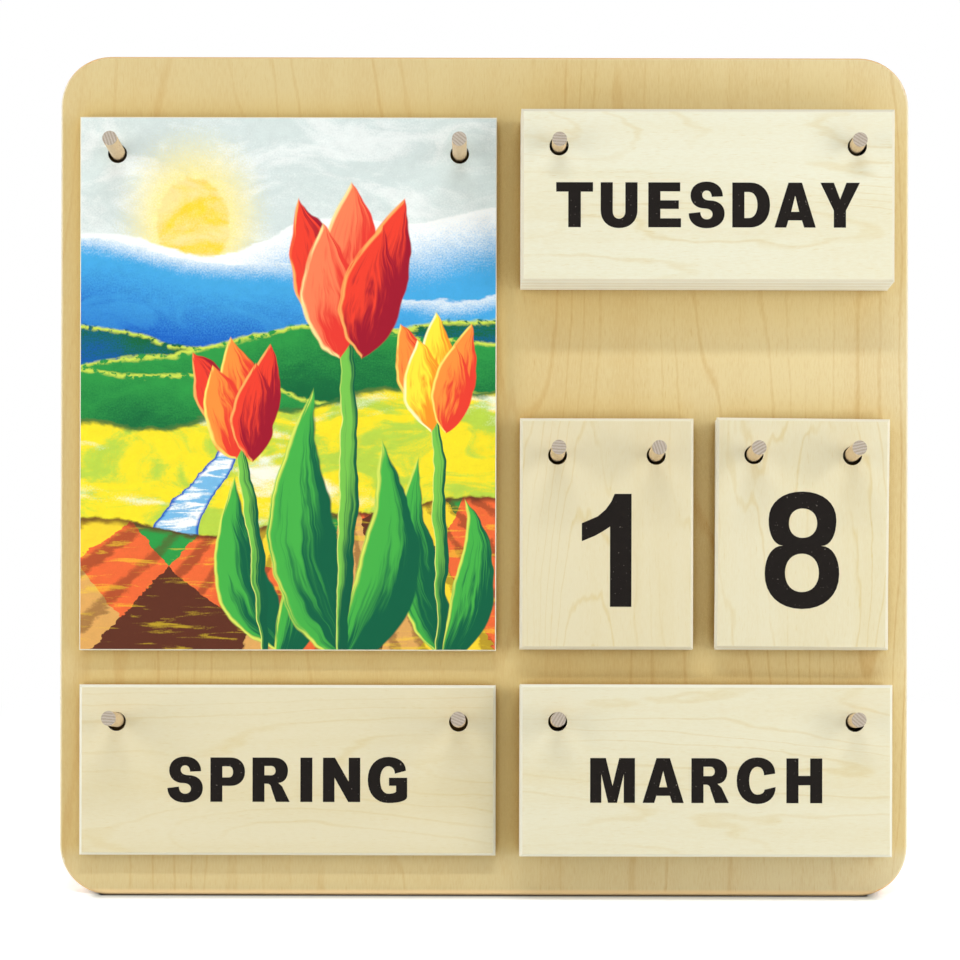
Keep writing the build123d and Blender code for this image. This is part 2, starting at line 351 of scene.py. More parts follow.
class Graph:
    """Adds nodes to a tree. Inputs are fed with a Value, a number, a vector or a colour."""

    def __init__(self, tree):
        self.tree = tree

    def add(self, kind, inputs=None, **settings):
        """A new node with its settings and inputs."""
        node = self.tree.nodes.new(kind)
        for name, value in settings.items():
            setattr(node, name, value)
        self.feed(node, inputs or {})
        return node

    def feed(self, node, inputs):
        """Links values to a node's inputs, or sets the inputs to constants."""
        for key, value in inputs.items():
            if isinstance(value, Value):
                self.tree.links.new(value.socket, node.inputs[key])
            else:
                node.inputs[key].default_value = linear(value) if isinstance(value, Color) else value

    def output(self, kind, inputs=None, key=0, **settings):
        """One output of a new node."""
        return Value(self, self.add(kind, inputs, **settings).outputs[key])

    def outputs(self, node):
        """All outputs of a node by name."""
        return {output.name: Value(self, output) for output in node.outputs}

    def math(self, operation, *values):
        """Result of a math node, of the kind for vectors where one of the values is a vector."""
        vectors = any(isinstance(value, tuple) or isinstance(value, Value) and value.socket.type == "VECTOR"
                      for value in values)
        kind = "ShaderNodeVectorMath" if vectors else "ShaderNodeMath"
        key = "Vector" if vectors and operation not in ("LENGTH", "DOT_PRODUCT") else "Value"
        return self.output(kind, dict(enumerate(values)), key, operation=operation)

    def join(self, x, y, z):
        """Vector of three values."""
        return self.output("ShaderNodeCombineXYZ", {0: x, 1: y, 2: z})

    def mix(self, factor, first, second, blend="MIX"):
        """Mixed colour."""
        return self.output("ShaderNodeMix", {0: factor, 6: first, 7: second}, 2, data_type="RGBA",
                           blend_type=blend)

    def paint(self, colour, *coats):
        """Colour under coats of paint, each with its mask."""
        for mask, coat in coats:
            colour = self.mix(mask, colour, coat)
        return colour

    def place(self):
        """Place in the object's frame."""
        return self.output("ShaderNodeTexCoord", key="Object")

    def group(self, build, **inputs):
        """Outputs of a node group, which is made of its function at its first use."""
        if build not in GROUPS:
            GROUPS[build] = make_group(build)
        named = {title(name): value for name, value in inputs.items()}
        return self.outputs(self.add("ShaderNodeGroup", named, node_tree=GROUPS[build]))


def make_group(build):
    """Node group with a function's name, its parameters as inputs and what it returns as outputs."""
    graph = Graph(bpy.data.node_groups.new(title(build.__name__), "ShaderNodeTree"))
    parameters = list(signature(build).parameters.values())[1:]
    for parameter in parameters:
        default = parameter.default
        kind = "RGBA" if default == COLOUR else "VECTOR" if isinstance(default, tuple) else "VALUE"
        socket = graph.tree.interface.new_socket(title(parameter.name), in_out="INPUT",
                                                 socket_type=KINDS[kind])
        socket.default_value = default
    given = graph.outputs(graph.add("NodeGroupInput"))
    outputs = build(graph, *(given[title(parameter.name)] for parameter in parameters))
    for name, value in outputs.items():
        graph.tree.interface.new_socket(name, in_out="OUTPUT", socket_type=KINDS[value.socket.type])
    graph.add("NodeGroupOutput", outputs)
    return graph.tree


def lean_space(graph, lean=0.0, origin=VECTOR):
    """Place and normal in the frame of a board that leans back by an angle, at rest."""
    source = graph.outputs(graph.add("ShaderNodeTexCoord"))
    plain = {"Place": source["Object"] - origin, "Normal": source["Normal"]}
    return {name: graph.output("ShaderNodeVectorRotate", {"Vector": vector, "Angle": lean},
                               rotation_type="X_AXIS") for name, vector in plain.items()}


def wood_grain(graph, place=VECTOR, light=COLOUR, dark=COLOUR, bands=0.5, lines=0.4, line_count=10.0,
               figure=1.0, fibre=0.4, flecks=0.3):
    """Sawn wood whose fibres run along Z: broad bands, growth lines, fine fibres and dark flecks."""
    broad = place.noise((42, 42, 2.2), 3, 0.55, 0.4).ramp(0.3, 0.75)
    drawn = place * figure
    flow = drawn.noise((110, 110, 26)) * 0.045 + drawn.noise((16, 16, 2.6), 1, 0.5, 0.3)
    rings = graph.math("FRACT", flow * line_count)
    growth = abs(rings - 0.5).ramp(0.1, 0.01) * drawn.noise((30, 30, 9)).ramp(0.3, 0.62)
    fine = place.noise((1300, 1300, 260), 3, 0.7)
    spots = place.noise((1900, 1900, 170), 1).ramp(0.66, 0.76)
    amount = broad * bands + growth * lines + (fine - 0.5) * fibre + spots * flecks
    return {"Color": graph.mix(amount, light, dark), "Roughness": fine * 0.22 + 0.36,
            "Height": spots * -0.6 + fine}


def ply_edge(graph, place=VECTOR, depth=0.0, ply=1.23 * MM, light=COLOUR, dark=COLOUR):
    """Cut edge of plywood: plies by turns along and across, dark glue lines, end-grain pores."""
    layer = depth / ply + (place.noise(90) - 0.5) * 0.25
    across = abs(graph.math("FRACT", layer * 0.5) - 0.75).ramp(0.29, 0.22)
    glue = abs(graph.math("FRACT", layer) - 0.5).ramp(0.43, 0.5)
    pores = place.noise(2600, 2, 0.6)
    along = place.noise((60, 2600, 60), 2, 0.6)
    amount = across * pores * 1.15 + 0.04 + along * 0.12 + glue * 0.45
    return {"Color": graph.mix(amount, light, dark), "Roughness": pores * 0.25 + 0.5,
            "Height": glue * -0.8 + pores}


def edge_wear(graph, place=VECTOR, radius=0.8 * MM):
    """Mask of rubbed edges and of a painted highlight along edges, broken up by dust."""
    rounded = graph.output("ShaderNodeBevel", {"Radius": radius}, samples=4)
    plain = graph.output("ShaderNodeNewGeometry", key="Normal")
    edge = graph.math("DOT_PRODUCT", rounded, plain).ramp(0.995, 0.90)
    return {"Mask": edge * place.noise(160, 3, 0.6).ramp(0.35, 0.62)}


def shelter(graph, distance=25 * MM, first=0.9, last=0.5):
    """Mask for painted shade: sets in at a first share of open sky within a distance and is full at a last
    share.
    """
    sky = graph.output("ShaderNodeAmbientOcclusion", {"Distance": distance}, "AO", samples=8)
    return {"Mask": sky.ramp(first, last)}


def painted_petal(graph, place=VECTOR, middle=VECTOR, turn=VECTOR, size=(1, 1, 1), bend=0.0, taper=0.0,
                  strokes=3.0):
    """Painted petal or leaf: a pointed oval, bent sideways, with strokes along it and a brushed rim."""
    mapping = {"Vector": place, "Location": middle, "Rotation": turn, "Scale": size}
    x, y, _ = graph.output("ShaderNodeMapping", mapping, vector_type="TEXTURE").split()
    square = y * y
    x = square * bend + x
    width = (1.0 - square).larger(0.0) * (y * taper + 1.0)
    inside = width - abs(x)
    side = x / width.larger(0.05)
    stroke = graph.join(side * strokes, y * 0.9, middle.length() * 7.0).noise(1, 3, 0.62, 0.5)
    return {"Mask": inside.ramp(0.0, 0.08), "Side": side, "Along": y, "Stroke": stroke,
            "Rim": inside.ramp(0.2, 0.1) * stroke.ramp(0.3, 0.5)}


def painted_landscape(graph, place=VECTOR, sky=COLOUR, glow=COLOUR, sun=COLOUR, mountain=COLOUR,
                      mountain_shade=COLOUR, hill=COLOUR, hill_shade=COLOUR, rim=COLOUR, meadow=COLOUR,
                      meadow_two=COLOUR, water=COLOUR, crop_one=COLOUR, crop_two=COLOUR,
                      crop_three=COLOUR, earth=COLOUR):
    """Painted landscape: low sun, blue ranges, green hills, a stream in a meadow, ploughed fields."""
    paint = graph.paint
    white = tone(252, 252, 246)
    brush = place.noise((5, 13, 1), 4, 0.6, 0.9)
    fine = place.noise((38, 60, 1), 3, 0.6)
    grain = place.noise((230, 290, 1), 2, 0.7) - 0.5
    u, v, _ = place.split()
    v = v + ((brush - 0.5) * 0.035 + (fine - 0.5) * 0.012)

    def wash(value, low, high, amount=1.0):
        """Grainy transition between two levels."""
        return (grain * (0.9 * abs(high - low)) + value).ramp(low, high) * amount

    def ridge(base, *waves):
        """Mask below a skyline made of sine waves, each (height, count, shift), and the depth below."""
        line = base
        for height, count, shift in waves:
            line = graph.math("SINE", u * (count * tau) + shift) * height + line
        depth = line - v
        return depth.ramp(-0.002, 0.004), depth

    low_sun = (place - (0.27, 0.8, 0)).length()
    disc = paint(sun, (wash(brush, 0.35, 0.6, 0.3), white))
    colour = paint(sky, (wash(brush, 0.42, 0.66, 0.55), white), (wash(low_sun, 0.2, 0.07), glow),
                   ((fine * 0.02 + low_sun).ramp(0.102, 0.092), disc))
    mask, depth = ridge(0.79, (0.035, 0.8, 3.5), (0.018, 2.1, 0.4))
    colour = paint(colour, (mask, paint(white, (wash(depth, 0.0, 0.13), mountain))))
    mask, depth = ridge(0.715, (0.05, 0.55, 1.5), (0.014, 1.7, 2.0))
    peaks = paint(mountain, (wash(depth, 0.02, 0.2), mountain_shade),
                  (wash(depth, 0.035, -0.01, 0.9), white), (wash(brush, 0.5, 0.62, 0.35), mountain))
    colour = paint(colour, (mask, peaks))
    for base, waves, light, dark in (
            (0.6, ((0.035, 0.7, 2.8), (0.008, 2.6, 0.3)), hill_shade, mountain_shade),
            (0.565, ((0.045, 0.6, 5.4), (0.01, 1.9, 1.1)), hill, hill_shade),
            (0.5, ((0.03, 0.8, 1.0), (0.01, 2.2, 2.6)), hill, hill_shade)):
        mask, depth = ridge(base, *waves)
        slope = paint(light, (wash(brush * 0.22 + depth, 0.1, 0.25), dark),
                      (depth.ramp(0.012, 0.004) * fine.ramp(0.4, 0.5), rim))
        colour = paint(colour, (mask, slope))
    mask, depth = ridge(0.455, (0.035, 0.6, 4.6), (0.008, 2.9, 1.0))
    grass = paint(meadow, (wash(brush, 0.44, 0.6), meadow_two),
                  (wash(place.noise((3, 10, 1), 3, 0.6, 0.4), 0.55, 0.68, 0.8), white),
                  (depth.ramp(0.014, 0.004) * 0.9, hill_shade))
    colour = paint(colour, (mask, grass))
    near = (0.46 - v).larger(0.0)
    middle = graph.math("SINE", v * 17.0 + 0.9) * (near * 0.2 + 0.035) + 0.31
    bank = near * 0.22 + 0.006 - abs(u - middle)
    stream = paint(water, (wash(place.noise((9, 60, 1), 3, 0.6, 0.6), 0.45, 0.6), white),
                   (bank.ramp(0.012, 0.003), mountain_shade))
    colour = paint(colour, (bank.ramp(0.0, 0.003) * v.ramp(0.452, 0.446), stream))
    mask, depth = ridge(0.255, (0.03, 0.75, 3.4), (0.008, 2.3, 0.2))
    across, down = u - 0.62, 0.5 - v
    swing = (fine - 0.5) * 0.05 + graph.math("ARCTAN2", across, down)
    reach = brush * 0.5 + graph.math("LOGARITHM", graph.join(across, down, 0.0).length(), 1.28)
    plot = graph.join(graph.math("FLOOR", swing * 4.6), graph.math("FLOOR", swing * 0.8 + reach), 0.0)
    chance = graph.output("ShaderNodeTexWhiteNoise", {"Vector": plot}, "Value", noise_dimensions="2D")
    crop = crop_one
    for level, other in ((0.24, crop_two), (0.46, crop_three), (0.66, earth), (0.84, hill)):
        crop = paint(crop, (graph.math("GREATER_THAN", chance, level), other))
    furrow = (brush - 0.5) * 2.4 + graph.math("SINE", swing * 52.0)
    crop = paint(crop, (wash(furrow, 0.1, 0.9, 0.55), earth),
                 (wash(place.noise((7, 70, 1), 3, 0.6, 0.5), 0.54, 0.66, 0.45), crop_one),
                 (depth.ramp(0.016, 0.003) * 0.85, earth))
    colour = paint(colour, (mask, crop))
    bright = (fine - 0.5) * 0.2 + 1.0 + grain * 0.16
    return {"Color": graph.mix(1.0, colour, graph.join(bright, bright, bright), "MULTIPLY")}


class Look(Graph):
    """Graph of a new material with a Principled shader."""

    def __init__(self, name):
        self.material = bpy.data.materials.new(name)
        self.material.use_nodes = True
        super().__init__(self.material.node_tree)
        self.tree.nodes.clear()
        self.shader = self.add("ShaderNodeBsdfPrincipled")
        self.bsdf = Value(self, self.shader.outputs[0])
        self.add("ShaderNodeOutputMaterial", {"Surface": self.bsdf})

    def surface(self, colour, rough, gloss, height, depth, strength):
        """Colour, roughness, specular level, and bumps of a height that goes from 0 to 1 over a depth."""
        bump = self.output("ShaderNodeBump", {"Height": height, "Distance": depth, "Strength": strength})
        self.feed(self.shader, {"Base Color": colour, "Roughness": rough, "Specular IOR Level": gloss,
                                "Normal": bump})


def new_object(name, data):
    """Object in the scene that shows some data."""
    item = bpy.data.objects.new(name, data)
    bpy.context.scene.collection.objects.link(item)
    return item


def dress(name, material):
    """Gives a CAD node one material."""
    mesh = NODES[name].data
    mesh.materials.clear()
    mesh.materials.append(material)


# Faces of the CAD pieces


def flat_face(name, outward):
    """Frame of a node's flat face, X to its viewer's right and Z out of it, with its corner points."""
    mesh = NODES[name].data
    facing = [polygon for polygon in mesh.polygons if polygon.normal.dot(outward) > 0.5]
    normal = max(facing, key=lambda polygon: polygon.area).normal.copy()
    points = [mesh.vertices[index].co for polygon in facing if polygon.normal.dot(normal) > 0.99999
              for index in polygon.vertices]
    rise = (Vector((0, 0, 1)) - normal * normal.z).normalized()
    side = rise.cross(normal)
    corners = [max(points, key=lambda point: across * point.dot(side) + up * point.dot(rise))
               for across, up in ((-1, 1), (1, 1), (1, -1), (-1, -1))]
    side = (corners[1] - corners[0]).normalized()
    middle = sum(corners, Vector()) / 4
    axes = Matrix((side, normal.cross(side), normal)).transposed().to_4x4()
    return Matrix.Translation(middle) @ axes, corners, points


def face_size(corners):
    """Width and height of a rectangle given by its corners."""
    return (corners[1] - corners[0]).length, (corners[0] - corners[3]).length


def hanging_holes(name, outward):
    """Middles and radius of the two holes in a tile's face, in the face's frame."""
    place, corners, points = flat_face(name, outward)
    inner = [place.inverted() @ point for point in points
             if min((point - corner).length for corner in corners) > 5 * MM]
    holes = []
    for side in (-1, 1):
        rim = [point for point in inner if point.x * side > 0]
        low = Vector((min(point.x for point in rim), min(point.y for point in rim)))
        high = Vector((max(point.x for point in rim), max(point.y for point in rim)))
        holes.append(((low + high) / 2, (high - low).x / 2))
    return holes


def lean_of(name, outward):
    """Angle by which a node leans back from upright."""
    normal = flat_face(name, outward)[0].col[2]
    return atan2(-normal.z * outward.y, normal.y * outward.y)


# Prints


def outline(steps):
    """Points of a closed outline written as corners and quarter curves."""
    points = []
    for step in steps.split():
        x, y = (float(part) for part in step.lstrip("hv").split(","))
        end = Vector((x, y, 0))
        if step[0] in "hv":
            start = points[-1]
            reach = (end - start) * CURVE_FULLNESS
            level, upright = Vector((reach.x, 0, 0)), Vector((0, reach.y, 0))
            first, last = (level, upright) if step[0] == "h" else (upright, level)
            points += interpolate_bezier(start, start + first, end - last, end, CURVE_STEPS)[1:]
        else:
            points.append(end)
    if (points[0] - points[-1]).length < 1e-6:
        points.pop()
    return points


def word_shapes(word, cap_height, width_limit):
    """Letters of a word, centred, as lists of an outer outline and its counters, in metres."""
    shapes = []
    cursor = 0
    for index, letter in enumerate(word):
        loops = [outline(steps) for steps in LETTERS[letter]]
        if index:
            open_sides = (letter in OPEN_ON_THE_LEFT) + (word[index - 1] in OPEN_ON_THE_RIGHT)
            cursor += LETTER_GAP - GAP_SAVED * open_sides
        shapes.append([[point + Vector((cursor, 0, 0)) for point in loop] for loop in loops])
        cursor += max(point.x for point in loops[0])
    scale = min(cap_height / 100, width_limit / cursor)
    middle = Vector((cursor / 2, 50, 0))
    return [[[(point - middle) * scale for point in loop] for loop in loops] for loops in shapes]


def flat_print(name, shapes, place, material, body):
    """Thin closed layer of print that lies on a face and rides on its tile."""
    mesh = bpy.data.meshes.new(name)
    layer = bmesh.new()
    for loops in shapes:
        flat = [point for loop in loops for point in loop]
        top = [layer.verts.new(place @ (point + Vector((0, 0, PRINT_PROUD)))) for point in flat]
        base = [layer.verts.new(place @ (point - Vector((0, 0, PRINT_SUNK)))) for point in flat]
        for corners in tessellate_polygon(loops):
            layer.faces.new([top[index] for index in corners])
            layer.faces.new([base[index] for index in reversed(corners)])
        start = 0
        for loop in loops:
            for index in range(len(loop)):
                here, after = start + index, start + (index + 1) % len(loop)
                layer.faces.new((top[here], top[after], base[after], base[here]))
            start += len(loop)
    bmesh.ops.recalc_face_normals(layer, faces=layer.faces)
    layer.to_mesh(mesh)
    layer.free()
    mesh.materials.append(material)
    piece = new_object(name, mesh)
    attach(piece, body)
    return piece


def circle(middle, radius):
    """Points of a circle."""
    angles = [tau * index / CIRCLE_STEPS for index in range(CIRCLE_STEPS)]
    return [Vector((middle.x + radius * cos(angle), middle.y + radius * sin(angle), 0)) for angle in angles]


# Materials


def board_front():
    """Y of the lower front edge of the board at the height of its foot."""
    place, corners, _ = flat_face("board", FRONT)
    normal = place.col[2].xyz
    return corners[0].dot(normal) / normal.y


def board_space(graph):
    """Place and normal in the frame of the board."""
    return graph.group(lean_space, lean=lean_of("board", FRONT), origin=(0, board_front(), 0)).values()


def finish_ply(graph, place, normal, face, edge, coat, bored=0.0):
    """Joins a ply sheet's faces and edges on a shader and returns the colour. Bored edges get painted shade,
    dark like scorched wood.
    """
    on_face = abs(normal.split()[1]).ramp(*FACE_LEVELS)
    # Painted shade on bored edges, dark like scorched wood
    edge = edge | {"Color": graph.mix(bored, edge["Color"], SCORCHED)}
    colour, rough, height = (graph.mix(on_face, edge[name], face[name])
                             for name in ("Color", "Roughness", "Height"))
    # Lighter rubbed edges, which are also a painted highlight where edges catch light
    wear = graph.group(edge_wear, place=place)["Mask"]
    colour = graph.mix(wear * 0.25, colour, RUBBED_WOOD)
    graph.feed(graph.shader, {"Coat Weight": 0.12 * coat, "Coat Roughness": 0.3})
    graph.surface(colour, wear * 0.1 + rough, 0.25, height, 0.04 * MM, 0.5)
    return colour


def board_material(wood):
    """Warm veneer with upright grain, paler towards the right as painted light, painted shade near the tiles
    and in narrow gaps, a painted highlight in end-grain tone along the foot, and plies on cut edges.
    """
    graph = Look("Board veneer")
    place, normal = board_space(graph)
    x, y, z = place.split()
    # Painted light: the veneer turns paler towards the right, as if lit more from that side
    light = graph.mix(x.ramp(*PALE_FROM_TO), wood.board_light, wood.board_pale)
    face = graph.group(wood_grain, place=place * (1, 1, 0.7), light=light, dark=wood.board_dark,
                       bands=0.18, lines=0.34, line_count=24.0, figure=0.5, fibre=0.9, flecks=0.4)
    upright = abs(normal.split()[2]).ramp(0.15, 0.6)
    edge_light = graph.mix(upright, wood.ply_light, wood.end_grain)
    edge = graph.group(ply_edge, place=place, depth=y, ply=BOARD_PLY, light=edge_light,
                       dark=wood.ply_dark)
    colour = finish_ply(graph, place, normal, face, edge, 0.5)
    # Painted shade: darker, warmer tints where nearby pieces hide the sky, kept to front faces above the foot
    tinted = z.ramp(*TINTED_FROM_TO) * normal.split()[1].ramp(-0.8, -0.95)
    for name, (reach, first, last) in SHELTER_TINTS.items():
        sheltered = graph.group(shelter, distance=reach, first=first, last=last)["Mask"]
        colour = graph.mix(sheltered * tinted, colour, getattr(wood, name), "MULTIPLY")
    # Painted highlight in end-grain tone along the foot, where the lamps leave the rounding dim
    colour = graph.mix(z.ramp(*FOOT_FROM_TO) * FOOT_AMOUNT, colour, wood.board_foot)
    graph.feed(graph.shader, {"Base Color": colour})
    return graph.material


def tile_material(place_name, wood, upright, warmth):
    """Fine birch ply with its grain along or up the tile."""
    graph = Look("Tile birch " + place_name)
    light = wood.tile_light * (1 - warmth) + wood.tile_warm * warmth
    lines, line_count = (0.42, 24.0) if upright else (0.3, 16.0)
    place, normal = board_space(graph)
    x, y, z = place.split()
    deep = y * 40.0
    along = graph.join(x, deep, z) if upright else graph.join(z, deep, x)
    face = graph.group(wood_grain, place=along, light=light, dark=wood.tile_dark,
                       bands=0.28, lines=lines, line_count=line_count, fibre=0.5, flecks=0.25)
    edge = graph.group(ply_edge, place=place, depth=y, ply=TILE_PITCH / 3, light=wood.tile_ply,
                       dark=wood.tile_edge)
    # near_holes gives the painted shade on the hole walls
    finish_ply(graph, place, normal, face, edge, 0.3, near_holes(place, place_name))
    return graph.material


def near_holes(place, place_name):
    """Mask of the hanging holes of a place's tiles, in the board's frame, for the painted shade on their
    walls.
    """
    tile = f"{place_name}_tile_1"
    face = flat_face(tile, FRONT)[0]
    turned = Matrix.Rotation(lean_of("board", FRONT), 4, "X")
    masks = []
    for middle, radius in hanging_holes(tile, FRONT):
        x, _, z = turned @ (face @ Vector((*middle, 0)) - Vector((0, board_front(), 0)))
        offset = (place - (x, 0, z)) * (1, 0, 1)
        masks.append(offset.length().ramp(2.0 * radius, 1.8 * radius))
    return masks[0].larger(masks[1])


def peg_material(wood):
    """Beech dowel: fibres along the peg, ring stripes on its sawn end."""
    graph = Look("Peg beech")
    place, normal = board_space(graph)
    x, y, z = place.split()
    side = graph.group(wood_grain, place=graph.join(x, z, y), light=wood.peg_light,
                       dark=wood.peg_dark, bands=0.2, lines=0.2, line_count=9.0, fibre=0.9,
                       flecks=0.6)
    heading = graph.output("ShaderNodeObjectInfo", key="Random") * pi
    swirl = place.noise((170, 0, 170)) * (0.9 * MM)
    ahead = x * graph.math("COSINE", heading) + z * graph.math("SINE", heading) + swirl
    ring = graph.math("SINE", ahead * (tau / RING_WIDTH))
    grit = place.noise(2500, 2, 0.6)
    end = graph.mix(ring * 0.22 + grit * 0.9, wood.peg_end, RING_SHADE)
    on_end = normal.split()[1].ramp(-0.9, -0.96)
    colour = graph.mix(on_end, side["Color"], end)
    height = graph.mix(on_end, side["Height"], grit)
    graph.surface(colour, on_end * 0.2 + side["Roughness"], 0.35, height, 0.05 * MM, 0.6)
    return graph.material


def strut_material(wood):
    """Birch ply leg, grain along its length."""
    graph = Look("Strut birch")
    origin = tuple(flat_face("strut", BACK)[0].translation)
    space = graph.group(lean_space, lean=lean_of("strut", BACK), origin=origin)
    place, normal = space.values()
    face = graph.group(wood_grain, place=place, light=wood.tile_warm, dark=wood.tile_dark,
                       bands=0.45, lines=0.35, line_count=16.0, fibre=0.6, flecks=0.4)
    edge = graph.group(ply_edge, place=place, depth=place.split()[1], ply=STRUT_PLY,
                       light=wood.ply_light, dark=wood.ply_dark)
    finish_ply(graph, place, normal, face, edge, 0.2)
    return graph.material


def zinc_material(name, base, rough):
    """Zinc plate with faint brushing, stains, and rubbed edges that are lighter also as a painted highlight.
    """
    graph = Look(name)
    place = graph.place()
    brushed = place.noise((90, 2400, 2400), 3, 0.6)
    stain = place.noise(120, 4, 0.6).ramp(0.4, 0.7)
    # Lighter rubbed edges, which are also a painted highlight
    wear = graph.group(edge_wear, place=place, radius=0.3 * MM)["Mask"]
    colour = graph.paint(base, (stain * 0.5, ZINC_STAIN), (wear, RUBBED_ZINC))
    graph.feed(graph.shader, {"Metallic": 1.0})
    graph.surface(colour, brushed * 0.25 + rough, 0.5, brushed, 0.02 * MM, 0.5)
    return graph.material


def ink_material(ink):
    """Screen-printed black, slightly patchy, with a few pinholes."""
    graph = Look("Printing ink")
    place = graph.place()
    patches = place.noise(260, 4, 0.65)
    pinholes = place.noise(900, 1).ramp(0.72, 0.8)
    colour = graph.mix(pinholes * 0.5 + patches * 0.03, ink, PINHOLE)
    graph.surface(colour, patches * 0.3 + 0.5, 0.1, patches, 0.03 * MM, 0.4)
    return graph.material


def petal(graph, place, colour, middle, size, tones, turn=0.0, bend=0.0, taper=0.0, strokes=3.0):
    """Paints one petal or leaf in a light, a dark and a rim tone over a colour."""
    light, dark, rim = (tone(*value) for value in tones)
    blade = graph.group(painted_petal, place=place, middle=(*middle, 0), size=(*size, 1),
                        turn=(0, 0, radians(turn)), bend=bend, taper=taper, strokes=strokes)
    shade = blade["Stroke"] + (blade["Side"] * 0.28 + blade["Along"] * -0.22)
    tint = graph.paint(light, (shade.ramp(0.36, 0.64), dark),
                       (blade["Rim"] * blade["Side"].ramp(0.3, -0.3), rim))
    return graph.mix(blade["Mask"], colour, tint)


def tulip(graph, place, colour, foot, head, scale, outer, inner):
    """Paints a tulip: two blades, a stem and a cup of five petals."""
    rise = head[1] - foot[1]
    tilt = degrees(-atan2(head[0] - foot[0], rise))
    for side, reach, width in ((-1, 0.74, 0.062), (1, 0.6, 0.054)):
        at = (foot[0] + side * 0.075 * scale, foot[1] + rise * reach * 0.48)
        colour = petal(graph, place, colour, at, (width * scale, rise * reach * 0.52), LEAF,
                       tilt - side * 13, side * 1.1, -0.3, 4.0)
    middle = ((head[0] + foot[0]) / 2, (head[1] + foot[1]) / 2)
    colour = petal(graph, place, colour, middle, (0.017 * scale, rise * 0.6), STEM, tilt, 1.2, 0.0, 1.5)
    for offset, size, turn, tones in (
            ((-0.06, 0.03), (0.045, 0.098), 19, outer), ((0.06, 0.03), (0.045, 0.098), -19, outer),
            ((0.0, 0.045), (0.052, 0.1), 0, inner), ((-0.034, -0.004), (0.054, 0.094), 10, inner),
            ((0.036, -0.006), (0.054, 0.094), -11, outer)):
        at = Vector(head) + Vector(offset) * scale
        colour = petal(graph, place, colour, at, (size[0] * scale, size[1] * scale), tones,
                       tilt + turn, 0.0, -0.25, 3.2)
    return colour


def picture_axes(corners):
    """The steps and offsets that lead from object space to 0 to 1 across a picture and up it."""
    top_left, top_right, _, bottom_left = corners
    steps = [axis / axis.length_squared for axis in (top_right - top_left, top_left - bottom_left)]
    return [(tuple(step), -step.dot(bottom_left)) for step in steps]


def picture_material(season, corners):
    """Satin colour print of a painted landscape. Spring adds three tulips."""
    graph = Look("Print " + season)
    source = graph.place()
    u, v = (graph.math("DOT_PRODUCT", source, step) + offset for step, offset in picture_axes(corners))
    place = graph.join(u, v, 0.0)
    colours = {name: tone(*value) for name, value in SEASON_COLOURS[season].items()}
    colour = graph.group(painted_landscape, place=place, **colours)["Color"]
    if season == "spring":
        shake = place.noise((10, 13, 1), 2, 0.45) * 0.03 - 0.015
        moved = place + graph.join(shake, shake, 0.0)
        for foot, head, scale, outer, inner in TULIPS:
            colour = tulip(graph, moved, colour, foot, head, scale, outer, inner)
    weave = source.noise(2400)
    graph.surface(colour, weave * 0.2 + 0.42, 0.2, weave, 0.02 * MM, 0.3)
    return graph.material


# Operators


def stack(place):
    """Names of the tiles of a place, from the board outwards."""
    return sorted(name for name in NODES if name.startswith(place + "_tile_"))


class CALENDAR_OT_board(Operator):
    """Veneer the board"""

    bl_idname = "calendar.board"
    bl_label = "Board"

    def execute(self, context):
        dress("board", board_material(context.scene.calendar.wood))
        return {"FINISHED"}


class CALENDAR_OT_pegs(Operator):
    """Finish the pegs"""

    bl_idname = "calendar.pegs"
    bl_label = "Pegs"

    def execute(self, context):
        material = peg_material(context.scene.calendar.wood)
        for name in NODES:
            if "_peg_" in name:
                dress(name, material)
        return {"FINISHED"}


class CALENDAR_OT_tiles(Operator):
    """Finish the birch tiles"""

    bl_idname = "calendar.tiles"
    bl_label = "Tiles"

    def execute(self, context):
        wood = context.scene.calendar.wood
        for place, (upright, warmth) in TILE_LOOKS.items():
            material = tile_material(place, wood, upright, warmth)
            for name in stack(place):
                dress(name, material)
        return {"FINISHED"}


class CALENDAR_OT_lettering(Operator):
    """Print the weekdays, months, seasons and digits"""

    bl_idname = "calendar.lettering"
    bl_label = "Lettering"

    def execute(self, context):
        sizes = context.scene.calendar.print
        ink = ink_material(sizes.ink)
        words = (sizes.word_height, sizes.word_width_limit, sizes.word_drop)
        digits = (sizes.digit_height, sizes.word_width_limit, sizes.digit_drop)
        plan = (("weekday", [("", word) for word in WEEKDAYS], words), ("month", MONTHS, words),
                ("season", SEASONS, words), ("tens", TENS, digits), ("units", UNITS, digits))
        for place, texts, (cap_height, limit, drop) in plan:
            for name, sides in zip(stack(place), texts, strict=True):
                for text, outward, side in zip(sides, (BACK, FRONT), ("back", "front")):
                    if text:
                        face = flat_face(name, outward)[0] @ Matrix.Translation((0, -drop, 0))
                        flat_print(f"{name}_{side}_print", word_shapes(text, cap_height, limit), face,
                                   ink, name)
        return {"FINISHED"}


class CALENDAR_OT_pictures(Operator):
    """Print the season pictures"""

    bl_idname = "calendar.pictures"
    bl_label = "Pictures"

    def execute(self, context):
        for name, seasons in zip(stack("picture"), PICTURES, strict=True):
            for season, outward, side in zip(seasons, (BACK, FRONT), ("back", "front")):
                place, corners, _ = flat_face(name, outward)
                width, height = face_size(corners)
                sheet = [Vector((x * width / 2, y * height / 2, 0))
                         for x, y in ((-1, -1), (1, -1), (1, 1), (-1, 1))]
                holes = [circle(middle, radius) for middle, radius in hanging_holes(name, outward)]
                piece = flat_print(f"{name}_{side}_print", [[sheet, *holes]], place,
                                   picture_material(season, corners), name)
        return {"FINISHED"}


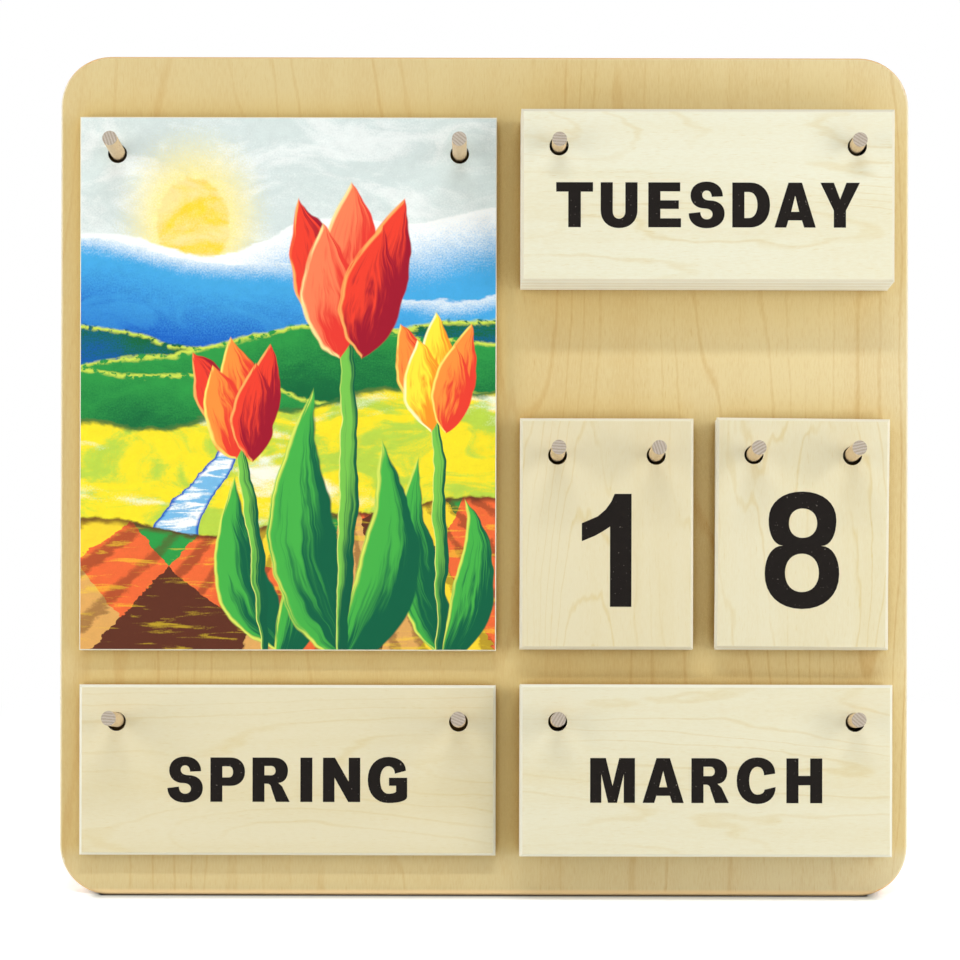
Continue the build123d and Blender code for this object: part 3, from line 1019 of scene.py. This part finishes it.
class CALENDAR_OT_strut(Operator):
    """Finish the strut, its hinge and its screws"""

    bl_idname = "calendar.strut"
    bl_label = "Strut and hinge"

    def execute(self, context):
        dress("strut", strut_material(context.scene.calendar.wood))
        hinge = zinc_material("Hinge zinc", HINGE_ZINC, 0.3)
        screws = zinc_material("Screw zinc", SCREW_ZINC, 0.22)
        for name in ("hinge_board_leaf", "hinge_strut_leaf", "hinge_pin"):
            dress(name, hinge)
        for name in ("board_leaf_screws", "strut_leaf_screws"):
            dress(name, screws)
        return {"FINISHED"}


class CALENDAR_OT_stage(Operator):
    """Set the floor, the lamps and the camera"""

    bl_idname = "calendar.stage"
    bl_label = "Stage"

    def execute(self, context):
        stage = context.scene.calendar.stage
        place = flat_face("board", FRONT)[0]
        side, rise, out = (place.col[index].xyz for index in range(3))
        foot = Vector((0, board_front(), 0))
        aim = foot + side * stage.camera_side + rise * stage.camera_height
        add_camera(aim, side, rise, out, stage)
        middle = (Vector(CAD_BOX[0]) + Vector(CAD_BOX[1])) / 2
        add_lamp("Top lamp", middle, out + rise * 1.42, 2.2, (1.4, 0.13), stage.top_lamp, COOL_LIGHT)
        add_lamp("Right lamp", middle, out + side * 1.6, 1.2, (0.5, 1.3), stage.right_lamp)
        add_lamp("Left lamp", middle, out - side * 1.6, 1.2, (0.5, 1.3), stage.left_lamp)
        add_lamp("Back lamp", middle, rise * 0.5 + side * 0.3 - out, 2.0, (1.0, 1.0), stage.back_lamp)
        add_world(stage.sky_level)
        add_floor()
        context.scene.view_settings.view_transform = "Standard"
        return {"FINISHED"}


def add_camera(aim, side, rise, out, stage):
    """Camera square to the board."""
    data = bpy.data.cameras.new("Camera")
    data.lens = stage.camera_lens
    camera = new_object("Camera", data)
    turned = Matrix((side, rise, out)).transposed().to_4x4()
    camera.matrix_world = (Matrix.Translation(aim + out * stage.camera_distance) @ turned
                           @ Matrix.Rotation(stage.camera_roll, 4, "Z"))
    bpy.context.scene.camera = camera


def add_lamp(name, target, direction, distance, size, power, colour=(1, 1, 1)):
    """Soft lamp that faces a point, of a width and a height."""
    data = bpy.data.lights.new(name, "AREA")
    data.energy = power
    data.color = colour
    data.shape = "RECTANGLE"
    data.size, data.size_y = size
    lamp = new_object(name, data)
    lamp.location = target + direction.normalized() * distance
    lamp.rotation_mode = "QUATERNION"
    lamp.rotation_quaternion = direction.to_track_quat("Z", "Y")


def sight(graph):
    """1 for the rays of the camera, of a gloss or through a glass, 0 for the light of the room."""
    rays = graph.outputs(graph.add("ShaderNodeLightPath"))
    return rays["Is Camera Ray"].larger(rays["Is Glossy Ray"].larger(rays["Is Transmission Ray"]))


def add_world(level):
    """Even light from all round, plain white where the camera, a gloss or a glass sees it."""
    world = bpy.data.worlds.new("Studio")
    world.use_nodes = True
    world.node_tree.nodes.clear()
    graph = Graph(world.node_tree)
    strength = sight(graph) * (1.0 - level) + level
    background = graph.output("ShaderNodeBackground", {"Color": WHITE, "Strength": strength})
    graph.add("ShaderNodeOutputWorld", {"Surface": background})
    bpy.context.scene.world = world


def board_foot():
    """Half the width of the board's flat foot at its front, and half the foot's depth."""
    flat = [vertex.co for vertex in NODES["board"].data.vertices if vertex.co.z < 0.05 * MM]
    front = min(point.y for point in flat)
    return max(point.x for point in flat if point.y < front + 1 * MM), -front


def add_floor():
    """Pale floor that keeps the object's shadow, with a painted contact shadow along the board's foot, and
    looks white beyond it.
    """
    mesh = bpy.data.meshes.new("Floor")
    signs = ((-1, -1), (1, -1), (1, 1), (-1, 1))
    mesh.from_pydata([(x * FLOOR_REACH, y * FLOOR_REACH, 0) for x, y in signs], [], [(0, 1, 2, 3)])
    floor = new_object("Floor", mesh)
    graph = Look("Floor paper")
    seen = sight(graph)
    place = graph.place()
    apart = graph.math("MAXIMUM", abs(place) - (*board_foot(), 0), (0, 0, 0)).length()
    # Painted contact shadow: a dark line along the foot and a painted grey shade round it
    contact = apart.ramp(CONTACT_REACH, 0.4 * CONTACT_REACH)
    shade = apart.ramp(4 * CONTACT_REACH, 0.0) * 0.8
    paper = graph.paint(PAPER, (shade, PAPER_SHADE), (contact, CONTACT_SHADE))
    graph.surface(paper, 0.9, 0.5, place.noise(700, 3, 0.6), 0.05 * MM, 0.2)
    # The camera-only glow is taken away where the shadow is painted
    glow = (contact.larger(shade) * -0.4 + 0.4) * seen
    graph.feed(graph.shader, {"Emission Color": WHITE, "Emission Strength": glow})
    beyond = place.length().ramp(*WHITE_FROM_TO) * seen
    white = graph.output("ShaderNodeEmission", {"Color": WHITE, "Strength": 1.0})
    blend = graph.output("ShaderNodeMixShader", {0: beyond, 1: graph.bsdf, 2: white})
    graph.feed(graph.tree.get_output_node("ALL"), {"Surface": blend})
    mesh.materials.append(graph.material)
    floor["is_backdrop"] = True


class CALENDAR_PT_pieces(Panel):
    """Lists the calendar's steps"""

    bl_idname = "CALENDAR_PT_pieces"
    bl_label = "Perpetual calendar"
    bl_space_type = "VIEW_3D"
    bl_region_type = "UI"
    bl_category = "Calendar"

    def draw(self, context):
        for step in STEPS:
            self.layout.operator(step.bl_idname)
        for part in ("wood", "print", "stage"):
            group = getattr(context.scene.calendar, part)
            box = self.layout.box()
            for name in group.__annotations__:
                box.prop(group, name)


STEPS = (CALENDAR_OT_stage, CALENDAR_OT_board, CALENDAR_OT_pegs, CALENDAR_OT_tiles,
         CALENDAR_OT_lettering, CALENDAR_OT_pictures, CALENDAR_OT_strut)
CLASSES = (WoodSettings, PrintSettings, StageSettings, CalendarSettings, *STEPS, CALENDAR_PT_pieces)


def register():
    for item in CLASSES:
        bpy.utils.register_class(item)
    bpy.types.Scene.calendar = PointerProperty(type=CalendarSettings)


def unregister():
    del bpy.types.Scene.calendar
    for item in reversed(CLASSES):
        bpy.utils.unregister_class(item)


def main():
    """Makes the whole scene and works out the sizes of the model before and after."""
    register()
    bpy.ops.calendar.stage()
    bpy.ops.calendar.board()
    bpy.ops.calendar.pegs()
    bpy.ops.calendar.tiles()
    bpy.ops.calendar.lettering()
    bpy.ops.calendar.pictures()
    bpy.ops.calendar.strut()
    look_box = [list(corner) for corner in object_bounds()]


if __name__ == "__main__":
    main()
